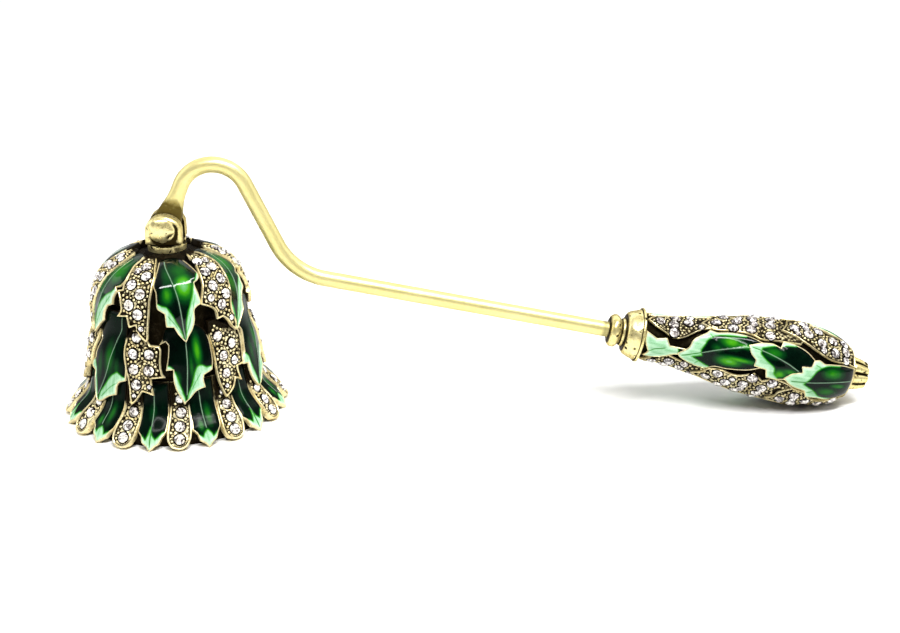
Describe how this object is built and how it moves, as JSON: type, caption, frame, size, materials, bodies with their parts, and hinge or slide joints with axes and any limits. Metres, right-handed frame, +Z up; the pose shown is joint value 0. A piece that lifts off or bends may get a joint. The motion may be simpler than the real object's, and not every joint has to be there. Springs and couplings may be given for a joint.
{
  "type": "candle snuffer",
  "caption": "Candle snuffer: a leaf-covered bell with green enamel and clear stones, hinged to a bent metal wand with a matching handle.",
  "frame": {"origin": "centre of the bell's mouth, on the surface that the bell and the handle rest on", "axes": "+X from the bell to the handle, +Z up along the bell's axis, the hinge pin lies along Y"},
  "size_m": [0.1861, 0.0504, 0.0591],
  "materials": {
    "dark_brass": "dark patina",
    "leaf_edge": "pale gold plate, polished edges",
    "stone_plate": "antiqued pale gold with dark seats",
    "enamel": "glossy translucent green enamel, pale mint at the tips",
    "stone": "clear faceted, foil-backed",
    "fitting_brass": "antiqued pale gold",
    "rod_brass": "satin pale gold",
    "nut_steel": "plated"
  },
  "bodies": {
    "wand": {"wand_rod": "rod_brass", "collar": "fitting_brass", "handle_core": "dark_brass", "handle_leaf_frames": "leaf_edge", "handle_leaf_enamel": "enamel", "handle_stone_leaves": "stone_plate", "handle_stones": "stone", "end_finial": "fitting_brass"},
    "bell": {"bell_cup": "dark_brass", "upper_leaf_frames": "leaf_edge", "upper_leaf_enamel": "enamel", "upper_stone_leaves": "stone_plate", "upper_stones": "stone", "middle_leaf_frames": "leaf_edge", "middle_leaf_enamel": "enamel", "middle_stone_leaves": "stone_plate", "middle_stones": "stone", "skirt_leaf_petals": "leaf_edge", "skirt_petal_enamel": "enamel", "skirt_stone_petals": "stone_plate", "skirt_stones": "stone", "clevis": "fitting_brass", "clevis_nut": "nut_steel", "hinge_pin": "fitting_brass"}
  },
  "joints": [
    {"name": "bell_swing", "type": "hinge", "parent": "wand", "child": "bell", "pos_m": [0, 0, 0.0435], "axis": [0, 1, 0], "range_deg": [-25, 114]}
  ]
}
